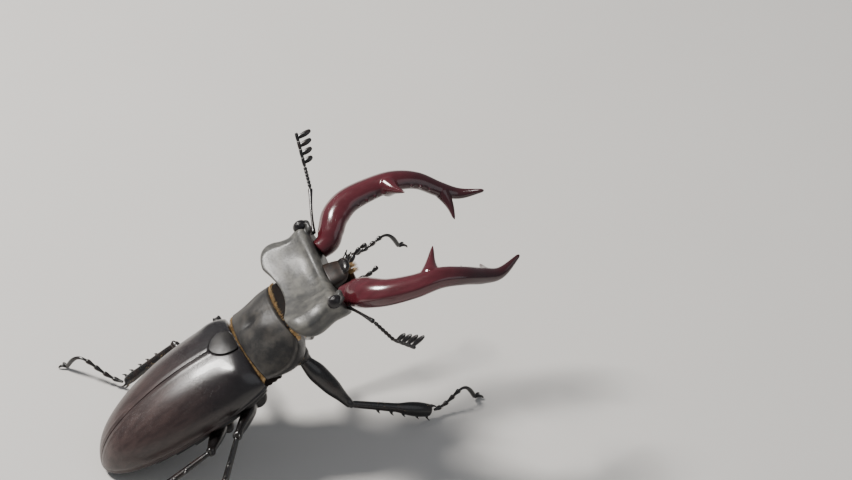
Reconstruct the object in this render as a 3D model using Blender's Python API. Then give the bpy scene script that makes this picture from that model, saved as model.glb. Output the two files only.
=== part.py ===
"""A male stag beetle at life size, reared up on five feet with its jaws open.

Every shape is worked out in millimetres in its own body frame (x to the beetle's right,
y forward, z up) and becomes metres when its mesh is made. Three empties carry the
frames of hind body, prothorax and head; the legs are placed from hip, knee and ankle
in the standing frame below the front of the wing cases. The beetle faces -Y.
"""
import bmesh
import bpy
from math import cos, exp, pi, radians, sin
from mathutils import Matrix, Vector

MM = 0.001
GAP = 0.25                  # clear space between pieces that touch in life

# Standing pose: turns of each frame against the one behind it, in degrees
STAND_AT = (-0.85, 5.09)       # moves the standing frame so that the model's box is centred
HIND_HEIGHT = 18.6          # front middle of the wing cases above the floor
HIND_TURN = (26.6, 2.2, 0.0)        # pitch, roll, yaw
PROTHORAX_AT = (0.0, 1.0, 0.0)
PROTHORAX_TURN = (16.6, 0.0, -3.5)
HEAD_AT = (-0.3, 10.1, 1.2)
HEAD_TURN = (-12.9, -2.5, -1.6)

# Wing cases and hind body
CASE_LENGTH = 32.6
CASE_HALF_WIDTH = 10.3
CASE_RISE = 8.6             # crest above the tail end's level
SEAM = 0.2
BELLY_SPLIT = -12.6         # y where metathorax and abdomen meet
BELLY_DEPTH = 5.2
ABDOMEN_RINGS = 5

# Prothorax
PRONOTUM_LENGTH = 9.1
PRONOTUM_HALF_WIDTH = 9.35
PRONOTUM_RISE = 4.7
PROSTERNUM_DEPTH = 5.4

# Head: y of each station, half width, height at the middle, height at the sides
HEAD_STATIONS = (
    (0.5, 7.4, 2.7, 3.3), (0.75, 9.4, 3.0, 4.1), (1.4, 11.1, 3.0, 4.6), (2.5, 12.0, 2.8, 4.8),
    (3.7, 12.1, 2.5, 4.6), (5.0, 11.6, 2.1, 4.3), (6.3, 11.2, 1.8, 4.2), (7.5, 11.5, 1.8, 4.4),
    (8.4, 11.9, 2.1, 4.7), (9.1, 11.7, 1.7, 4.3), (9.5, 10.9, 0.6, 3.2),
)
HEAD_FLOOR = -4.6           # underside of the head
HEAD_LEAN = 0.28            # the back of the head leans back over the neck
HEAD_NOTCH = 1.5            # how far the back edge is hollowed in its middle
EYE_AT = (11.0, 9.1, 4.0)
EYE_RADII = (1.1, 1.35, 1.2)

# Jaws: points along the middle of the right one, before it is opened or closed
JAW_LINE = (
    (7.2, 11.0, 0.4), (7.6, 11.8, 0.4), (8.9, 13.2, 1.0), (11.0, 15.2, 1.6), (12.8, 18.2, 1.4), (13.5, 22.6, 0.3),
    (13.3, 27.0, -1.0), (12.9, 30.4, -3.6), (11.6, 32.8, -7.0), (10.4, 35.4, -9.5), (8.1, 39.5, -10.1),
)
JAW_HALF_WIDTHS = (2.1, 2.3, 2.6, 2.65, 2.45, 2.2, 1.95, 1.7, 1.5, 1.05, 0.3)
JAW_HALF_HEIGHTS = (1.8, 2.0, 2.15, 2.2, 2.05, 1.85, 1.7, 1.5, 1.35, 0.95, 0.3)
JAW_HINGE = (7.2, 11.0, 0.0)
JAW_OPENING = {"left": -0.4, "right": 6.6}      # degrees beyond the mean opening
JAW_TOOTH = ((13.0, 25.6, -0.5), (10.0, 26.6, 0.0), (7.0, 28.1, 0.6))
JAW_PRONG = ((11.4, 33.2, -7.5), (8.6, 32.9, -8.9), (5.6, 32.3, -9.9))

# Legs: hip in its body frame; knee, ankle and claws in the standing frame
HIP_FRONT = (3.6, 5.0, -5.5)
HIP_MIDDLE = (4.6, -3.2, -6.2)
HIP_HIND = (4.1, -10.2, -6.6)
LEG_POINTS = {
    "front_left": ((-8.6, 14.8, 11.5), (-14.9, 25.2, 22.7), (-17.2, 37.2, 19.8)),
    "front_right": ((7.9, 16.2, 7.5), (8.8, 31.7, 1.7), (6.8, 42.4, 0.0)),
    "middle_left": ((-15.2, -0.6, 15.0), (-20.6, 6.0, 1.7), (-29.6, 13.0, 0.0)),
    "middle_right": ((13.8, -6.7, 12.2), (21.8, -14.2, 1.7), (30.0, -22.6, 0.0)),
    "hind_left": ((-17.2, -8.3, 10.2), (-20.6, -17.5, 1.7), (-31.8, -26.8, 0.0)),
    "hind_right": ((13.4, -11.5, 9.9), (12.9, -25.0, 1.7), (10.4, -36.9, 0.0)),
}
FEMUR_HALF_WIDTH = {"front": 1.75, "middle": 1.5, "hind": 1.55}
TIBIA_END = {"front": 1.35, "middle": 1.05, "hind": 1.0}
TARSUS_ARCH = 3.0
KNEE = 1.0                  # radius of the knee's ball

SHELL = ("shell_black", (0.030, 0.026, 0.026), 0.32)
CASE = ("wing_case_brown", (0.075, 0.042, 0.038), 0.22)
JAW = ("jaw_maroon", (0.16, 0.018, 0.022), 0.18)
LEG = ("leg_black", (0.018, 0.015, 0.016), 0.25)
EYE = ("eye_black", (0.008, 0.008, 0.010), 0.10)
MOUTH = ("mouth_brown", (0.13, 0.060, 0.030), 0.45)


def finish(name, colour, roughness):
    """The named material, made the first time that it is asked for."""
    made = bpy.data.materials.get(name) or bpy.data.materials.new(name)
    made.use_nodes = True
    shader = made.node_tree.nodes["Principled BSDF"]
    shader.inputs["Base Color"].default_value = (*colour, 1.0)
    shader.inputs["Roughness"].default_value = roughness
    shader.inputs["Metallic"].default_value = 0.0
    return made


def empty(name, at, turn, parent=None):
    """A body frame: pitch and roll, then yaw, against the frame that carries it."""
    frame = bpy.data.objects.new(name, None)
    bpy.context.collection.objects.link(frame)
    pitch, roll, yaw = (radians(angle) for angle in turn)
    frame.rotation_mode = "QUATERNION"
    turned = Matrix.Rotation(yaw, 3, "Z") @ Matrix.Rotation(pitch, 3, "X") @ Matrix.Rotation(roll, 3, "Y")
    frame.rotation_quaternion = turned.to_quaternion()
    frame.location = Vector(at) * MM
    frame.parent = parent
    return frame


def piece(name, bm, look, parent, at=(0.0, 0.0, 0.0)):
    """Turn a finished bmesh in millimetres into one named object."""
    bmesh.ops.recalc_face_normals(bm, faces=bm.faces)
    bmesh.ops.scale(bm, vec=(MM, MM, MM), verts=bm.verts)
    mesh = bpy.data.meshes.new(name)
    bm.to_mesh(mesh)
    bm.free()
    mesh.shade_smooth()
    mesh.set_sharp_from_angle(angle=radians(40.0))
    mesh.materials.append(finish(*look))
    made = bpy.data.objects.new(name, mesh)
    bpy.context.collection.objects.link(made)
    made.location = Vector(at) * MM
    made.parent = parent
    return made


def cutter(name, bm, parent, at=(0.0, 0.0, 0.0)):
    """A shape that only cuts or joins, and is no part of the model."""
    made = piece(name, bm, SHELL, parent, at)
    made.hide_render = True
    made.display_type = "WIRE"
    return made


def combine(target, tool, operation):
    """Cut a shape out of a piece, or join it on."""
    step = target.modifiers.new(operation.title(), "BOOLEAN")
    step.operation = operation
    step.object = tool


def loft(rings):
    """Skin a row of equal rings and close both ends; gives the bmesh and its walls by ring and side."""
    bm = bmesh.new()
    loops = [[bm.verts.new(point) for point in ring] for ring in rings]
    sides = len(loops[0])
    walls = []
    for near, far in zip(loops, loops[1:]):
        walls.append([
            bm.faces.new((near[i], near[(i + 1) % sides], far[(i + 1) % sides], far[i]))
            for i in range(sides)
        ])
    bm.faces.new(list(reversed(loops[0])))
    bm.faces.new(loops[-1])
    return bm, walls


def tube(path, half_widths, half_heights, sides, side_axis=(1.0, 0.0, 0.0), start_angle=0.0):
    """Rings square to a path, their width along side_axis."""
    rings = []
    for i, point in enumerate(path):
        ahead = (path[min(i + 1, len(path) - 1)] - path[max(i - 1, 0)]).normalized()
        side = Vector(side_axis)
        side = (side - ahead * side.dot(ahead)).normalized()
        up = side.cross(ahead)
        angles = [start_angle + 2 * pi * k / sides for k in range(sides)]
        rings.append([
            point + side * half_widths[i] * cos(a) + up * half_heights[i] * sin(a) for a in angles
        ])
    return loft(rings)


def smooth_path(points, count):
    """Even parameter steps along the Catmull-Rom curve through points of any dimension."""
    points = [Vector(p) for p in points]
    ends = [2 * points[0] - points[1], *points, 2 * points[-1] - points[-2]]
    path = []
    for step in range(count):
        place = step / (count - 1) * (len(points) - 1)
        i = min(int(place), len(points) - 2)
        t = place - i
        a, b, c, d = ends[i:i + 4]
        path.append(0.5 * (2 * b + (c - a) * t + (2 * a - 5 * b + 4 * c - d) * t * t
                           + (3 * b - a - 3 * c + d) * t ** 3))
    return path


def grow(bm, face, steps):
    """Pull one face out into a thorn or claw; each step is an offset and a shrink."""
    for offset, shrink in steps:
        face = bmesh.ops.extrude_discrete_faces(bm, faces=[face])["faces"][0]
        middle = face.calc_center_median()
        for vert in face.verts:
            vert.co = middle + Vector(offset) + (vert.co - middle) * shrink
    return face


def ball(radii, at, segments=10, rings=6):
    """An ellipsoid with its poles fore and aft."""
    bm = bmesh.new()
    bmesh.ops.create_uvsphere(bm, u_segments=segments, v_segments=rings, radius=1.0)
    bmesh.ops.rotate(bm, matrix=Matrix.Rotation(radians(90.0), 3, "X"), verts=bm.verts)
    bmesh.ops.scale(bm, vec=radii, verts=bm.verts)
    bmesh.ops.translate(bm, vec=at, verts=bm.verts)
    return bm


def power(value, exponent):
    """A signed power, which squares off a circle into a superellipse."""
    return abs(value) ** exponent * (1 if value >= 0 else -1)


# ---------------------------------------------------------------- hind body

def case_half_width(t):
    """Half width of both wing cases together, t from base to tip."""
    shoulder = 0.9 * exp(-t * CASE_LENGTH / 2.5)
    return (CASE_HALF_WIDTH - shoulder) * max(1 - t ** 2.6, 0.0) ** 0.52


def case_edge(t):
    """Height of the side edge."""
    return -1.2 - 2.0 * t


def case_crest(t):
    """Height of the back's middle line: an arc that falls away to the tip."""
    arc = CASE_RISE * max(1 - ((t - 0.32) / 0.69) ** 2, 0.0) ** 0.56 - 3.0
    return arc - 1.0 * exp(-t * CASE_LENGTH / 0.7)


def wing_case(side_name, side, parent):
    """One wing case: domed above, flat below, meeting its twin along the seam."""
    rings = []
    for t in (0.0, 0.015, 0.05, 0.11, 0.2, 0.31, 0.43, 0.55, 0.66, 0.76, 0.845, 0.91, 0.96, 0.99, 0.999):
        width = case_half_width(t) - SEAM / 2
        edge = case_edge(t)
        rise = case_crest(t) - edge
        ring = []
        for k in range(9):
            a = radians(90.0 - 90.0 * k / 8)
            ring.append((width * power(cos(a), 0.87), rise * power(sin(a), 0.87)))
        ring += [(width * part, 0.0) for part in (0.66, 0.33, 0.0)]
        rings.append([
            Vector((side * (SEAM / 2 + x), -t * CASE_LENGTH, edge + z)) for x, z in ring
        ])
    bm, _ = loft(rings)
    return piece("elytron_" + side_name, bm, CASE, parent)


def shield(spread, bottom, top):
    """The small three-sided plate between the bases of the wing cases."""
    outline = [(-3.0, -0.5), (-1.5, -0.3), (0.0, -0.25), (1.5, -0.3), (3.0, -0.5),
               (2.7, -2.2), (1.5, -4.1), (0.0, -4.9), (-1.5, -4.1), (-2.7, -2.2)]
    middle = Vector((0.0, -2.2))
    rings = []
    for height, scale in ((bottom, 1.0), (top - 0.25, 1.0), (top, 0.8)):
        ring = []
        for x, y in outline:
            place = Vector((x, y)) - middle
            place = middle + place * (1 + spread / place.length) * scale
            ring.append(Vector((place.x, place.y, height)))
        rings.append(ring)
    bm, _ = loft(rings)
    return bm


def under_ring(y, half_width, top, depth):
    """A section of the underside: flat above, round below."""
    ring = [Vector((half_width * part, y, top)) for part in (-0.5, 0.0, 0.5)]
    for k in range(11):
        a = radians(180.0 * k / 10)
        ring.append(Vector((half_width * power(cos(a), 0.9), y, top - 0.3 - depth * power(sin(a), 1.35))))
    return ring


def belly(name, y_from, y_to, steps, parent, grooves=0):
    """Underside of the hind body between two stations, ringed where its plates meet."""
    rings = []
    for step in range(steps + 1):
        y = y_from + (y_to - y_from) * step / steps
        t = -y / CASE_LENGTH
        pinch = 0.965 if grooves and step % (steps // grooves) == 0 and 0 < step < steps else 1.0
        depth = BELLY_DEPTH * max(1 - max(t - 0.25, 0.0) ** 2 / 0.56, 0.05) * pinch
        depth *= 1 - 0.35 * exp(y / 1.5)
        width = (case_half_width(t) - 0.6) * pinch
        rings.append(under_ring(y, width, case_edge(t) - GAP, depth))
    bm, _ = loft(rings)
    return piece(name, bm, SHELL, parent)


# ---------------------------------------------------------------- prothorax

def pronotum_half_width(y):
    """Sides that run nearly straight and draw in to the front corners."""
    t = y / PRONOTUM_LENGTH
    return PRONOTUM_HALF_WIDTH * (1 - 0.12 * (t - 0.4) ** 2 - 0.75 * max(t - 0.62, 0) ** 1.8)


def pronotum_margin(y):
    """The side edge dips between its corners."""
    return 0.6 - 1.6 * sin(pi * min(y / PRONOTUM_LENGTH, 1.0)) ** 0.8


def pronotum_crest(y):
    """Height of the middle line, rolled down at both ends."""
    t = y / PRONOTUM_LENGTH
    ends = 1.1 * exp(-y / 0.35) + 1.1 * exp((y - PRONOTUM_LENGTH) / 0.35)
    return PRONOTUM_RISE * (1 - 0.5 * (t - 0.45) ** 2) - ends


def make_pronotum(parent):
    rings = []
    for y in (0.15, 0.45, 1.2, 2.6, 4.2, 5.8, 7.2, 8.2, 8.8, PRONOTUM_LENGTH):
        width, edge = pronotum_half_width(y), pronotum_margin(y)
        rise = pronotum_crest(y) - edge
        ring = [Vector((width * part, y, edge - 0.2)) for part in (-0.45, 0.0, 0.45)]
        for k in range(15):
            a = radians(180.0 * k / 14)
            ring.append(Vector((width * power(cos(a), 0.95), y, edge + rise * power(sin(a), 1.55))))
        rings.append(ring)
    bm, _ = loft(rings)
    return piece("pronotum", bm, SHELL, parent)


def make_prosternum(parent):
    rings = []
    for y in (0.4, 0.9, 2.2, 4.4, 6.4, 7.8, 8.5):
        width = pronotum_half_width(y) - 0.7
        depth = PROSTERNUM_DEPTH * (1 - 0.018 * (y - 4.5) ** 2)
        rings.append(under_ring(y, width, pronotum_margin(y) - 0.2 - GAP, depth))
    bm, _ = loft(rings)
    return piece("prosternum", bm, SHELL, parent)


def make_waist(hind, prothorax):
    """The wedge of soft skin where the prothorax hinges on the hind body, made in the latter's frame."""
    to_front = hind.matrix_world.inverted() @ prothorax.matrix_world
    back, front = [], []
    for k in range(16):
        a = 2 * pi * k / 16
        back.append(Vector((6.0 * cos(a), GAP, -1.8 + 3.0 * sin(a))))
        seen = Vector((6.0 * cos(a), 0.15 - GAP, -1.2 + 2.4 * sin(a))) * MM
        front.append((to_front @ seen) / MM)
    bm, _ = loft([back, front])
    return piece("waist", bm, MOUTH, hind)


def make_neck(prothorax, head):
    """The wedge of soft skin between pronotum and head, made in the prothorax's frame."""
    to_head = prothorax.matrix_world.inverted() @ head.matrix_world
    back, front = [], []
    for k in range(16):
        a = 2 * pi * k / 16
        rise = 3.2 * sin(a) if sin(a) > 0 else 0.8 * sin(a)
        back.append(Vector((7.0 * cos(a), PRONOTUM_LENGTH + GAP, 0.6 + rise)))
        height = 0.1 + 0.9 * rise
        seen = Vector((6.2 * cos(a), HEAD_STATIONS[0][0] - HEAD_LEAN * height - GAP, height)) * MM
        front.append((to_head @ seen) / MM)
    bm, _ = loft([back, front])
    return piece("neck", bm, MOUTH, prothorax)


# ---------------------------------------------------------------- head

def make_head(parent):
    """A broad saddle: lobes behind, raised corners in front, hollow between them."""
    rings = []
    front = HEAD_STATIONS[-1]
    shrunk = [(*front, 0.66), (*front, 0.3)]            # two more rings turn in over the front face
    for y, width, middle, sides, scale in [(*station, 1.0) for station in HEAD_STATIONS] + shrunk:
        level = sides - 1.3
        forward = y / front[0]
        ring = []
        for k in range(22):
            a = 2 * pi * k / 22
            if sin(a) >= 0:
                x = power(cos(a), 0.72)
                top = middle + (sides - middle) * min(abs(x) / 0.8, 1.0) ** 2 - level
                z = level + top * (1 - abs(x) ** 7) ** 0.5
            else:
                x = power(cos(a), 1.1)
                z = level - (level - HEAD_FLOOR) * power(-sin(a), 0.9)
            x *= scale
            z = -0.8 + (z + 0.8) * scale
            lean = -HEAD_LEAN * z * (1 - forward) + (x * x - 0.3) * forward ** 2
            hollow = HEAD_NOTCH * max(1 - (width * x / 7.0) ** 2, 0.0) * (1 - forward) ** 3
            ring.append(Vector((width * x, y + lean + hollow, z)))
        rings.append(ring)
    bm, _ = loft(rings)
    return piece("head", bm, SHELL, parent)


def make_clypeus(parent):
    """The shield over the mouth, sloping down between the jaws."""
    rings = []
    for y, width, top, bottom in (
            (9.6, 3.1, 1.5, -1.6), (10.6, 3.1, 1.2, -1.6), (11.6, 3.0, 0.9, -1.4),
            (12.6, 2.5, 0.9, -0.7), (13.2, 1.5, 0.8, -0.1), (13.5, 0.6, 0.6, 0.1)):
        middle, rise = (top + bottom) / 2, (top - bottom) / 2
        rings.append([
            Vector((width * power(cos(a), 0.7), y, middle + rise * power(sin(a), 0.7)))
            for a in (2 * pi * k / 12 for k in range(12))
        ])
    bm, _ = loft(rings)
    return piece("clypeus", bm, MOUTH, parent)


def make_chin(parent):
    """The plate under the mouth that carries the palps."""
    rings = []
    for y, width, top, bottom in (
            (9.65, 3.0, -2.0, -4.4), (10.8, 3.2, -2.0, -4.3), (12.0, 2.8, -2.0, -3.7), (12.9, 1.6, -2.2, -3.1)):
        middle, rise = (top + bottom) / 2, (top - bottom) / 2
        rings.append([
            Vector((width * power(cos(a), 0.7), y, middle + rise * power(sin(a), 0.7)))
            for a in (2 * pi * k / 10 for k in range(10))
        ])
    bm, _ = loft(rings)
    return piece("chin", bm, MOUTH, parent)


def bead_radii(count, beads, thin, thick):
    """Radii along a jointed feeler: each joint swells towards its far end."""
    radii = []
    for i in range(count):
        inside = (i / (count - 1) * beads) % 1.0
        radii.append(thin + (thick - thin) * sin(pi * min(inside * 1.15, 1.0)) ** 0.7)
    return radii


def make_palp(name, points, parent):
    path = smooth_path(points, 9)
    radii = bead_radii(9, 3, 0.27, 0.42)
    bm, _ = tube(path, radii, radii, 6, (0.0, 0.0, 1.0))
    return piece(name, bm, LEG, parent)


# ---------------------------------------------------------------- jaws

def jaw_point(point, side_name):
    """A point of the right-hand plan, opened about its hinge and mirrored for the left."""
    hinge = Vector(JAW_HINGE)
    turn = Matrix.Rotation(radians(-JAW_OPENING[side_name]), 3, "Z")
    placed = hinge + turn @ (Vector(point) - hinge)
    if side_name == "left":
        placed.x = -placed.x
    return placed


def branch(points, start, end, side_name, sides=8, count=6):
    """A tooth: a curved cone along three points."""
    path = [jaw_point(p, side_name) for p in smooth_path(points, count)]
    radii = [start + (end - start) * (i / (count - 1)) ** 0.8 for i in range(count)]
    bm, _ = tube(path, radii, radii, sides, (0.0, 0.3, 1.0))
    return bm


def make_jaw(side_name, parent):
    """The antler-like jaw: one blade, a tooth at two thirds and a forked tip."""
    count = 21
    path = [jaw_point(p, side_name) for p in smooth_path(JAW_LINE, count)]
    girth = smooth_path(list(zip(JAW_HALF_WIDTHS, JAW_HALF_HEIGHTS)), count)
    inward = -1.0 if side_name == "right" else 1.0
    bm, walls = tube(path, [g.x for g in girth], [g.y for g in girth], 9, (inward, 0.0, 0.0))
    for ring in (7, 8, 9, 10, 13, 14):
        face = max(walls[ring], key=lambda f: f.calc_center_median().x * inward)
        grow(bm, face, [((inward * 0.35, 0.1, 0.0), 0.55), ((inward * 0.3, 0.12, 0.0), 0.4)])
    jaw = piece("mandible_" + side_name, bm, JAW, parent)
    tooth = cutter("tooth_join_" + side_name, branch(JAW_TOOTH, 1.95, 0.3, side_name), parent)
    prong = cutter("prong_join_" + side_name, branch(JAW_PRONG, 1.5, 0.3, side_name), parent)
    combine(jaw, tooth, "UNION")
    combine(jaw, prong, "UNION")
    return jaw


# ---------------------------------------------------------------- feelers

def make_antenna(side_name, root, elbow, neck, tip, comb, parent):
    """Scape, a run of small joints, and a club whose last four joints are leaves."""
    scape = smooth_path((root, Vector(root).lerp(Vector(elbow), 0.5) + Vector((0, 0, 0.3)), elbow), 7)
    radii = [0.42, 0.36, 0.34, 0.34, 0.36, 0.42, 0.5]
    bm, _ = tube(scape, radii, radii, 6, (0.0, 0.0, 1.0))
    piece("antenna_" + side_name + "_scape", bm, LEG, parent)

    elbow, neck, tip = Vector(elbow), Vector(neck), Vector(tip)
    start = elbow + (neck - elbow).normalized() * 0.85
    path = [start.lerp(neck, i / 12) for i in range(13)]
    radii = bead_radii(13, 4, 0.25, 0.36)
    bm, _ = tube(path, radii, radii, 6, (0.0, 0.0, 1.0))
    piece("antenna_" + side_name + "_funicle", bm, LEG, parent)

    along = (tip - neck).normalized()
    leaf = Vector(comb).normalized()
    count = 13
    path = [(neck + along * 0.5).lerp(tip, i / (count - 1)) for i in range(count)]
    radii = [0.3 if i % 3 else 0.26 for i in range(count - 1)] + [0.3]
    bm, walls = tube(path, radii, radii, 6, leaf, radians(30.0))
    for i in (1, 4, 7, 10):
        reach = 1.5 + 0.1 * i
        face = max(walls[i], key=lambda f: f.calc_center_median().dot(leaf))
        grow(bm, face, [(leaf * reach * 0.5 + along * 0.25, 1.0), (leaf * reach * 0.5 + along * 0.25, 0.9)])
    piece("antenna_" + side_name + "_club", bm, LEG, parent)


# ---------------------------------------------------------------- legs

def limb(name, start, end, outer, stations, thickness, sides, parent, thorns=()):
    """A leg segment, its wide side to the outside of the bend: stations are (fraction, half width)."""
    start, end = Vector(start), Vector(end)
    length = (end - start).length
    path = [Vector((0.0, length * fraction, 0.0)) for fraction, _ in stations]
    widths = [width for _, width in stations]
    bm, walls = tube(path, widths, [w * thickness for w in widths], sides)
    for ring, side, reach in thorns:
        face = walls[ring][side]
        out = face.calc_center_median()
        out.y = 0.0
        lean = out.normalized() * reach * 0.5 + Vector((0.0, reach * 0.45, 0.0))
        grow(bm, face, [(lean, 0.5), (lean, 0.35)])
    made = piece(name, bm, LEG, parent, start)
    along = (end - start).normalized()
    edge = (outer - along * outer.dot(along)).normalized()
    made.rotation_mode = "QUATERNION"
    made.rotation_quaternion = Matrix((edge, along, edge.cross(along))).transposed().to_quaternion()
    return made


def make_foot(name, ankle, claws, arch, parent, on_floor):
    """Five joints and two claws on an arched line; soles that reach the floor are cut flat on it."""
    ankle, claws = Vector(ankle), Vector(claws)
    level = Vector((claws.x - ankle.x, claws.y - ankle.y, 0.0))
    forward = level.normalized()
    side = forward.cross(Vector((0.0, 0.0, 1.0)))
    hook = 1.4                                      # level reach of the claws beyond the last joint
    last = claws - forward * hook + Vector((0.0, 0.0, 0.6))
    start = ankle + (last - ankle).normalized() * 0.9
    joints = (0.0, 0.18, 0.34, 0.49, 0.63, 1.0)
    fractions, radii = [], []
    for near, far in zip(joints, joints[1:]):
        fractions += [near + 0.015, far - 0.015]
        radii += [0.28, 0.46]
    path = [
        start.lerp(last, f) + Vector((0.0, 0.0, arch * sin(pi * f ** 2.1))) - ankle for f in fractions
    ]
    bm, _ = tube(path, radii, radii, 6, side, radians(30.0))
    tip = path[-1]
    cap = min(bm.faces, key=lambda f: (f.calc_center_median() - tip).length)
    ring = sorted(cap.verts, key=lambda v: (v.co - tip).dot(Vector((0.0, 0.0, 1.0))))
    bmesh.ops.connect_verts(bm, verts=[ring[0], ring[-1]])
    halves = sorted(bm.faces, key=lambda f: (f.calc_center_median() - tip).length)[:2]
    for half in halves:
        out = 1.0 if (half.calc_center_median() - tip).dot(side) > 0 else -1.0
        grow(bm, half, [
            (forward * 0.75 + side * out * 0.32 + Vector((0.0, 0.0, 0.12)), 0.9),
            (forward * 0.55 + side * out * 0.28 + Vector((0.0, 0.0, -0.30)), 0.85),
            (forward * 0.2 + side * out * 0.05 + Vector((0.0, 0.0, -0.75)), 0.8),
        ])
    if on_floor:
        floor = Vector((0.0, 0.0, -ankle.z))
        everything = [*bm.verts, *bm.edges, *bm.faces]
        bmesh.ops.bisect_plane(bm, geom=everything, plane_co=floor, plane_no=(0, 0, -1), clear_outer=True)
        open_edges = [e for e in bm.edges if e.is_boundary]
        bmesh.ops.holes_fill(bm, edges=open_edges, sides=0)
    return piece(name, bm, LEG, parent, ankle)


def make_leg(name, hip_frame, hip, radii, body, stand, folded_over=()):
    """Coxa in its socket, femur, tibia and foot; a groove in each plate that the femur lies along."""
    pair = name.split("_")[0]
    side = 1.0 if name.endswith("right") else -1.0
    knee, ankle, claws = (Vector(p) for p in LEG_POINTS[name])
    seat = Vector((hip[0] * side, hip[1], hip[2]))
    coxa = piece("coxa_" + name, ball(radii, seat, 8, 5), SHELL, hip_frame)
    socket = cutter("socket_" + name, ball([r + GAP for r in radii], seat, 8, 5), hip_frame)
    combine(body, socket, "DIFFERENCE")

    to_stand = stand.matrix_world.inverted() @ hip_frame.matrix_world
    centre = to_stand @ (seat * MM) / MM
    aim = (knee - centre).normalized()
    local = (to_stand.to_3x3().inverted() @ aim)
    reach = sum((local[i] / radii[i]) ** 2 for i in range(3)) ** -0.5
    start = centre + aim * (reach + 0.75)
    shin = (ankle - knee).normalized()
    wide = FEMUR_HALF_WIDTH[pair]
    stations = ((0.0, 0.75), (0.14, wide * 0.78), (0.4, wide), (0.68, wide * 0.88), (0.88, KNEE * 0.95),
                (0.97, KNEE * 0.9), (1.03, KNEE * 0.6), (1.06, KNEE * 0.25))
    limb("femur_" + name, start, knee, -shin, stations, 0.78, 8, stand)
    for plate in folded_over:
        wider = [(-0.25, 1.4), (0.0, 1.5)] + [(f, width + 0.4) for f, width in stations[1:]]
        groove = limb("groove_" + name + "_" + plate.name, start, knee, -shin, wider, 0.82, 8, stand)
        groove.hide_render = True
        groove.display_type = "WIRE"
        combine(plate, groove, "DIFFERENCE")

    wide = TIBIA_END[pair]
    limb("tibia_" + name, knee + shin * (KNEE + GAP), ankle - shin * 0.1, aim, (
        (0.0, 0.5), (0.1, 0.68), (0.3, 0.74), (0.48, 0.8), (0.62, 0.86), (0.78, wide * 0.9),
        (0.93, wide), (1.0, wide * 0.86)), 0.72, 8, stand,
        thorns=((2, 0, 0.7), (3, 0, 0.8), (4, 0, 0.9), (5, 0, 1.1), (5, 4, 1.2)))
    make_foot("tarsus_" + name, ankle, claws, TARSUS_ARCH, stand, on_floor=claws.z < 0.5)
    return coxa


# ---------------------------------------------------------------- the beetle

for old in list(bpy.data.objects):
    bpy.data.objects.remove(old, do_unlink=True)

stand = empty("stand_frame", (*STAND_AT, 0.0), (0.0, 0.0, 180.0))
hind = empty("hind_body", (0.0, 0.0, HIND_HEIGHT), HIND_TURN, stand)
prothorax = empty("prothorax", PROTHORAX_AT, PROTHORAX_TURN, hind)
head_frame = empty("head_frame", HEAD_AT, HEAD_TURN, prothorax)
bpy.context.view_layer.update()

plate = piece("scutellum", shield(0.0, 3.6, 5.15), SHELL, hind)
recess = cutter("scutellum_recess", shield(GAP, 3.3, 9.0), hind)
for label, direction in (("left", -1.0), ("right", 1.0)):
    combine(wing_case(label, direction, hind), recess, "DIFFERENCE")
metathorax = belly("metathorax", -0.5, BELLY_SPLIT + GAP / 2, 6, hind)
abdomen = belly("abdomen", BELLY_SPLIT - GAP / 2, -CASE_LENGTH * 0.965, 10, hind, ABDOMEN_RINGS)

make_pronotum(prothorax)
prosternum = make_prosternum(prothorax)
make_waist(hind, prothorax)
make_neck(prothorax, head_frame)

skull = make_head(head_frame)
make_clypeus(head_frame)
make_chin(head_frame)
for label, direction in (("left", -1.0), ("right", 1.0)):
    place = (EYE_AT[0] * direction, EYE_AT[1], EYE_AT[2])
    piece("eye_" + label, ball(EYE_RADII, place, 12, 6), EYE, head_frame)
    orbit = cutter("orbit_" + label, ball([r + GAP * 0.6 for r in EYE_RADII], place, 12, 6), head_frame)
    combine(skull, orbit, "DIFFERENCE")
    make_jaw(label, head_frame)
    make_palp("palp_" + label, (
        (2.4 * direction, 13.4, -2.2), (3.6 * direction, 15.4, -1.6), (3.3 * direction, 17.3, -1.4)), head_frame)

make_antenna("left", (-11.0, 10.6, 1.2), (-19.3, 13.6, 3.3), (-22.6, 14.8, 5.4), (-27.9, 16.7, 8.9),
             (0.0, 1.0, -0.3), head_frame)
make_antenna("right", (11.0, 10.6, 1.2), (19.2, 13.4, 2.8), (22.1, 14.5, -0.5), (27.7, 17.3, 0.6),
             (0.0, 1.0, 0.3), head_frame)

for end, direction in (("left", -1.0), ("right", 1.0)):
    make_leg("front_" + end, prothorax, HIP_FRONT, (2.1, 2.0, 1.9), prosternum, stand)
    make_leg("middle_" + end, hind, HIP_MIDDLE, (2.0, 1.9, 1.8), metathorax, stand, [metathorax])
    make_leg("hind_" + end, hind, HIP_HIND, (3.4, 1.5, 1.6), metathorax, stand,
             [metathorax, abdomen] if end == "right" else [])
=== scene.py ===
"""A male stag beetle at life size, as a museum model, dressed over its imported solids.

The file follows the animal from the wing cases forward to the jaws, then the legs, the hair,
and the stage. Shapes are worked out in millimetres in the frame of the body part they sit on
(x to the beetle's right, y forward, z up) and placed in metres.
"""

from math import acos, atan2, cos, exp, pi, radians, sin
from random import Random

import bmesh
import bpy
from mathutils import Matrix, Vector, kdtree, noise


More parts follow.
